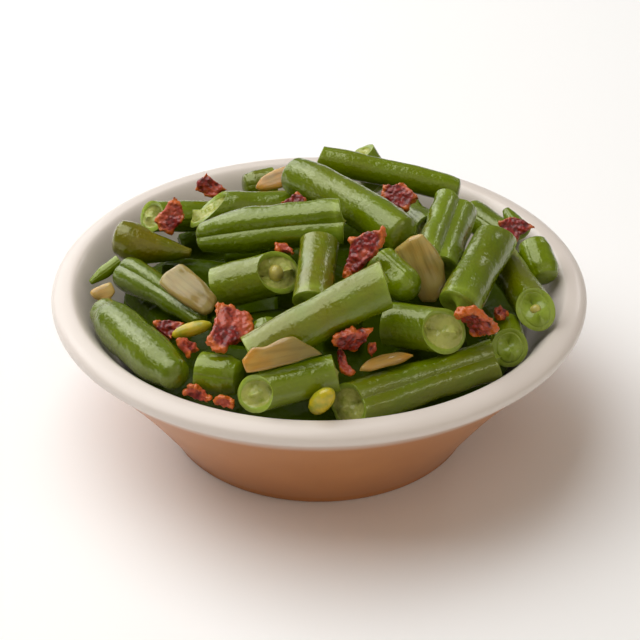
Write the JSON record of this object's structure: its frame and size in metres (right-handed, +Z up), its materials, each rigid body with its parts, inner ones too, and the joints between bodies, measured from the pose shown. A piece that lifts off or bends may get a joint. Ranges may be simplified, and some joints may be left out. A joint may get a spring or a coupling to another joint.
{
  "type": "bowl of cut green beans",
  "caption": "Round footed side bowl with a rolled lip, heaped with cooked cut green beans, onion pieces and bacon bits; the beans are laid at angles and rise above the rim.",
  "frame": {"origin": "centre of the foot ring's underside, on the bowl's axis, where the bowl stands", "axes": "+Z up along the bowl's axis; -Y is the side that faces the viewer of the picture; +X to the viewer's right"},
  "size_m": [0.12, 0.12, 0.0602],
  "materials": {
    "glazed_stoneware": "glossy cream glaze, tan below the lip",
    "bean_skin": "cooked green skin, wet and glossy",
    "lower_bean_skin": "cooked green skin in the shade of the heap",
    "bean_seed": "yellow-green cooked seed, moist",
    "cooked_onion": "translucent cooked onion, glossy",
    "fried_bacon": "fried red bacon with pink fat streaks, oily"
  },
  "bodies": {
    "root": {"bacon_back_crumb": "fried_bacon", "bacon_back_left": "fried_bacon", "bacon_back_right": "fried_bacon", "bacon_centre": "fried_bacon", "bacon_far_right": "fried_bacon", "bacon_fat_crumb": "fried_bacon", "bacon_front": "fried_bacon", "bacon_front_crumb": "fried_bacon", "bacon_front_curl": "fried_bacon", "bacon_left_crumb": "fried_bacon", "bacon_left_large": "fried_bacon", "bacon_middle_crumb": "fried_bacon", "bacon_right_crumb": "fried_bacon", "bacon_right_large": "fried_bacon", "bacon_rim_left": "fried_bacon", "bacon_rim_right": "fried_bacon", "bacon_upper_left": "fried_bacon", "bean_back_left": "bean_skin", "bean_back_long": "bean_skin", "bean_back_low": "bean_skin", "bean_back_peak": "bean_skin", "bean_back_right": "bean_skin", "bean_centre_cut": "bean_skin", "bean_centre_low": "bean_skin", "bean_centre_short": "bean_skin", "bean_centre_top": "bean_skin", "bean_crossing": "bean_skin", "bean_dark_curl": "bean_skin", "bean_far_right": "bean_skin", "bean_flat_ridged": "bean_skin", "bean_front_cut": "bean_skin", "bean_front_right": "bean_skin", "bean_front_stub": "bean_skin", "bean_grooved": "bean_skin", "bean_left_dark": "bean_skin", "bean_left_plump": "bean_skin", "bean_left_tail": "bean_skin", "bean_right_cut": "bean_skin", "bean_right_down": "bean_skin", "bean_right_low": "bean_skin", "bean_right_tall": "bean_skin", "bean_right_tip": "bean_skin", "bean_seed_front": "bean_seed", "bean_seed_left": "bean_seed", "bean_slant_cut": "bean_skin", "bean_under_crossing": "bean_skin", "bean_upright": "bean_skin", "bowl": "glazed_stoneware", "lower_beans": "lower_bean_skin", "onion_back_slice": "cooked_onion", "onion_draped_slice": "cooked_onion", "onion_front_sliver": "cooked_onion", "onion_left_scrap": "cooked_onion", "onion_left_wedge": "cooked_onion", "onion_right_wedge": "cooked_onion"}
  },
  "joints": []
}
